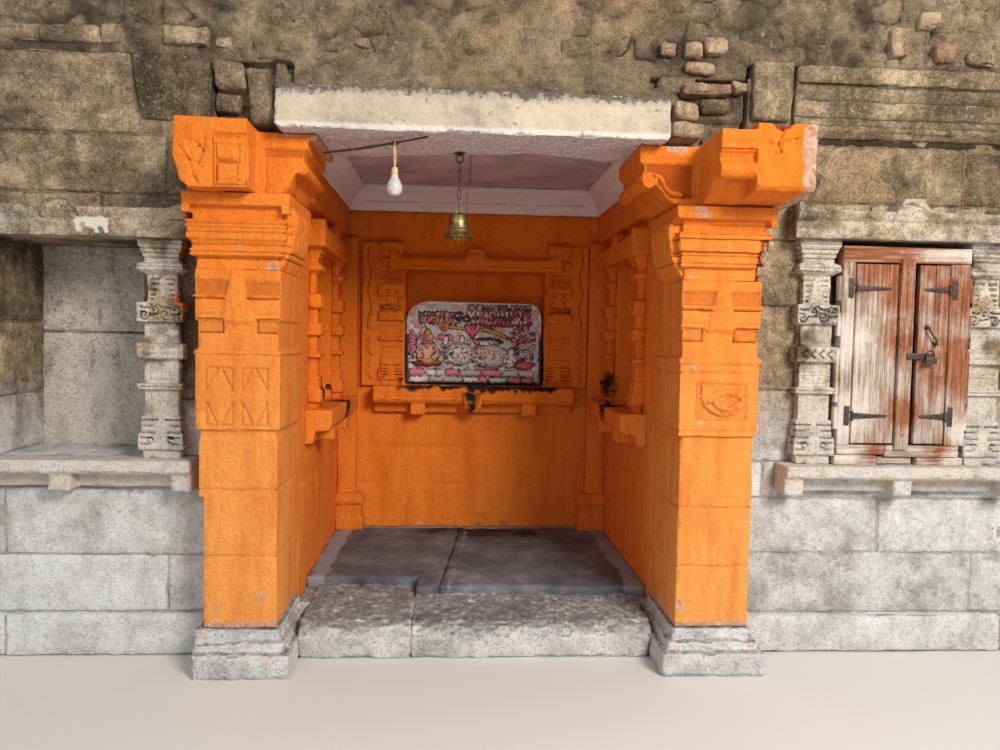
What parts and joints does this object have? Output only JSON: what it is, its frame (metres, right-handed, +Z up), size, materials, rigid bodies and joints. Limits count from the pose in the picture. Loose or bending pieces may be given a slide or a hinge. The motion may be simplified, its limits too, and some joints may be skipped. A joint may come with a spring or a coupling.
{
  "type": "hindu temple shrine bay",
  "caption": "Painted shrine cell with pillars, lintel, ceiling and hanging bell, let into a stone temple wall with a niche on each side, one closed by wooden doors.",
  "frame": {"origin": "on the ground on the centre line of the shrine's doorway, in the plane of the temple wall's face, under the threshold", "axes": "+X to the right seen from the front, +Y into the wall and cell, +Z up"},
  "size_m": [4.98, 2.225, 2.84],
  "materials": {
    "saffron_paint": "saffron distemper on dressed stone, worn and patchy",
    "bare_stone": "worn grey stone with rubbed edges",
    "wall_stone": "weathered grey-brown ashlar and rubble with lime mortar",
    "whitewash": "peeling whitewash with dark specks",
    "lilac_wash": "grey-lilac limewash, dull",
    "floor_stone": "dark slabs with dust and soot",
    "painted_relief": "glossy oil paint over carved stone",
    "worn_wood": "red-brown wood with worn pale patches and black iron straps",
    "dark_iron": "dark, lightly rusted",
    "bell_brass": "dull, tarnished",
    "twig_wood": "dry bark",
    "flex_plastic": "yellowed flex",
    "lamp_glass": "frosted white"
  },
  "bodies": {
    "masonry": {"left_pillar_base": "bare_stone", "right_pillar_base": "bare_stone", "left_pillar_shaft": "saffron_paint", "right_pillar_shaft": "saffron_paint", "left_pillar_capital": "saffron_paint", "right_pillar_capital": "saffron_paint", "left_bracket": "saffron_paint", "right_bracket": "saffron_paint", "threshold_left_stone": "bare_stone", "threshold_right_stone": "bare_stone", "front_lintel": "whitewash", "left_side_wall": "saffron_paint", "right_side_wall": "saffron_paint", "back_wall": "saffron_paint", "floor_slab_left": "floor_stone", "floor_slab_front": "floor_stone", "floor_slab_rear": "floor_stone", "left_side_niche_sill": "saffron_paint", "left_side_niche_surround": "saffron_paint", "right_side_niche_sill": "saffron_paint", "right_side_niche_surround": "saffron_paint", "back_niche_sill": "saffron_paint", "back_niche_surround": "saffron_paint", "left_corner_pilaster": "saffron_paint", "right_corner_pilaster": "saffron_paint", "relief_slab": "painted_relief", "left_cove": "lilac_wash", "right_cove": "lilac_wash", "rear_cove": "lilac_wash", "ceiling_slab": "lilac_wash", "cell_roof": "wall_stone", "left_bay_wall": "wall_stone", "right_bay_wall": "wall_stone", "middle_upper_wall": "wall_stone", "wall_cornice": "wall_stone", "wall_coping": "wall_stone", "left_niche_sill": "wall_stone", "left_niche_lintel": "wall_stone", "left_niche_left_pilaster": "wall_stone", "left_niche_right_pilaster": "wall_stone", "right_niche_sill": "wall_stone", "right_niche_lintel": "wall_stone", "right_niche_left_pilaster": "wall_stone", "right_niche_right_pilaster": "wall_stone", "niche_door_frame": "worn_wood", "bell_eye": "dark_iron", "lamp_twig": "twig_wood", "lamp_flex": "flex_plastic", "lamp_bulb": "lamp_glass"},
    "left_leaf": {"niche_door_left_leaf": "worn_wood"},
    "right_leaf": {"niche_door_right_leaf": "worn_wood"},
    "hanging_bell": {"bell_chain": "dark_iron", "bell": "bell_brass"},
    "clapper": {"bell_clapper": "bell_brass"}
  },
  "joints": [
    {"name": "left_leaf_hinge", "type": "hinge", "parent": "masonry", "child": "left_leaf", "pos_m": [1.517, -0.079, 1.266], "axis": [0, 0, -1], "range_deg": [0, 100]},
    {"name": "right_leaf_hinge", "type": "hinge", "parent": "masonry", "child": "right_leaf", "pos_m": [1.909, -0.079, 1.266], "axis": [0, 0, 1], "range_deg": [0, 100]},
    {"name": "bell_swing", "type": "hinge", "parent": "masonry", "child": "hanging_bell", "pos_m": [-0.101, 0.03, 2.001], "axis": [1, 0, 0], "range_deg": [-50, 50]},
    {"name": "clapper_swing", "type": "hinge", "parent": "hanging_bell", "child": "clapper", "pos_m": [-0.101, 0.03, 1.778], "axis": [1, 0, 0], "range_deg": [-20, 20]}
  ]
}
